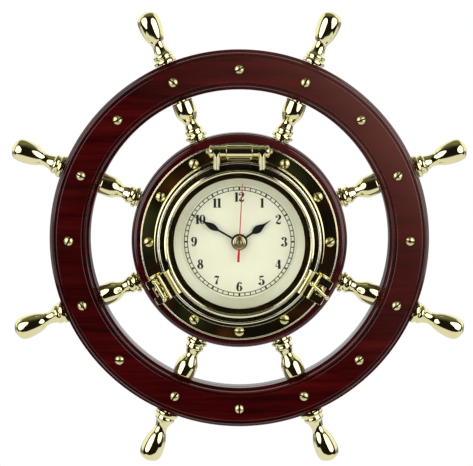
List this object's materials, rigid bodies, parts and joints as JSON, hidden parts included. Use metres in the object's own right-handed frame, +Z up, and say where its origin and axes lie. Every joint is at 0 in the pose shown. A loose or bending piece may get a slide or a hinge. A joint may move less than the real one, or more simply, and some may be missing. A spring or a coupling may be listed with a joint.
{
  "type": "ship wheel clock",
  "caption": "Wall clock shaped as a wooden ship's wheel with turned brass spokes; a hinged brass porthole with swing bolts covers a quartz dial at the hub.",
  "frame": {"origin": "centre of the wheel, on the flat back that lies against the wall", "axes": "+Z up the wall, +X to the right as seen from the front, +Y into the wall, the dial faces -Y"},
  "size_m": [0.353, 0.0508, 0.353],
  "materials": {
    "mahogany": "dark red stained hardwood under clear gloss lacquer",
    "brass": "mirror polished",
    "glass": "clear, flat",
    "dial_cream": "matt cream lacquer with black printing",
    "black_enamel": "satin black",
    "red_enamel": "satin red",
    "black_plastic": "moulded, matt",
    "battery_jacket": "plain printed jacket",
    "steel": "zinc plated"
  },
  "bodies": {
    "wheel": {"rim_front": "mahogany", "rim_back": "mahogany", "hub": "mahogany", "spoke_1": "brass", "spoke_2": "brass", "spoke_3": "brass", "spoke_4": "brass", "spoke_5": "brass", "spoke_6": "brass", "spoke_7": "brass", "spoke_8": "brass", "rim_screw_1": "brass", "rim_screw_2": "brass", "rim_screw_3": "brass", "rim_screw_4": "brass", "rim_screw_5": "brass", "rim_screw_6": "brass", "rim_screw_7": "brass", "rim_screw_8": "brass", "rim_screw_9": "brass", "rim_screw_10": "brass", "rim_screw_11": "brass", "rim_screw_12": "brass", "rim_screw_13": "brass", "rim_screw_14": "brass", "rim_screw_15": "brass", "rim_screw_16": "brass", "flange_screw_1": "brass", "flange_screw_2": "brass", "flange_screw_3": "brass", "flange_screw_4": "brass", "flange_screw_5": "brass", "flange_screw_6": "brass", "flange_screw_7": "brass", "flange_screw_8": "brass", "flange_screw_9": "brass", "porthole_body": "brass", "hinge_pin": "brass", "dog_pin_right": "brass", "dog_pin_left": "brass", "insert_bezel": "brass", "dial": "dial_cream", "movement_nut": "black_enamel", "movement_case": "black_plastic", "movement_cover": "black_plastic", "battery": "battery_jacket", "hanger_plate": "steel", "hanger_screw_1": "steel", "hanger_screw_2": "steel"},
    "sash": {"sash": "brass", "glass": "glass", "glass_ring": "brass"},
    "dog_bolt_right": {"dog_bolt_right": "brass"},
    "dog_bolt_left": {"dog_bolt_left": "brass"},
    "dog_nut_right": {"dog_nut_right": "brass"},
    "dog_nut_left": {"dog_nut_left": "brass"},
    "second_hand": {"second_hand": "red_enamel"},
    "minute_hand": {"minute_hand": "black_enamel"},
    "hour_hand": {"hour_hand": "black_enamel"},
    "setting_knob": {"setting_knob": "black_plastic"}
  },
  "joints": [
    {"name": "sash_hinge", "type": "hinge", "parent": "wheel", "child": "sash", "pos_m": [0, -0.038, 0.0704], "axis": [-1, 0, 0], "range_deg": [0, 110]},
    {"name": "dog_swing_right", "type": "hinge", "parent": "wheel", "child": "dog_bolt_right", "pos_m": [0.06097, -0.033, -0.0352], "axis": [0.5, 0, 0.866], "range_deg": [0, 80]},
    {"name": "dog_nut_turn_right", "type": "hinge", "parent": "dog_bolt_right", "child": "dog_nut_right", "pos_m": [0.06097, -0.0475, -0.0352], "axis": [0, -1, 0], "range_deg": [0, 90]},
    {"name": "dog_swing_left", "type": "hinge", "parent": "wheel", "child": "dog_bolt_left", "pos_m": [-0.06097, -0.033, -0.0352], "axis": [0.5, 0, -0.866], "range_deg": [0, 80]},
    {"name": "dog_nut_turn_left", "type": "hinge", "parent": "dog_bolt_left", "child": "dog_nut_left", "pos_m": [-0.06097, -0.0475, -0.0352], "axis": [0, -1, 0], "range_deg": [0, 90]},
    {"name": "second_turn", "type": "hinge", "parent": "wheel", "child": "second_hand", "pos_m": [0, -0.0305, 0], "axis": [0, 1, 0], "continuous": true},
    {"name": "minute_turn", "type": "hinge", "parent": "wheel", "child": "minute_hand", "pos_m": [0, -0.0294, 0], "axis": [0, 1, 0], "continuous": true},
    {"name": "hour_turn", "type": "hinge", "parent": "wheel", "child": "hour_hand", "pos_m": [0, -0.0283, 0], "axis": [0, 1, 0], "continuous": true},
    {"name": "knob_turn", "type": "hinge", "parent": "wheel", "child": "setting_knob", "pos_m": [0.012, -0.008, 0.01], "axis": [0, 1, 0], "continuous": true}
  ],
  "couplings": [
    {"joint": "minute_turn", "follows": "second_turn", "ratio": 0.016667},
    {"joint": "hour_turn", "follows": "second_turn", "ratio": 0.0013889},
    {"joint": "knob_turn", "follows": "second_turn", "ratio": -0.0055556}
  ]
}
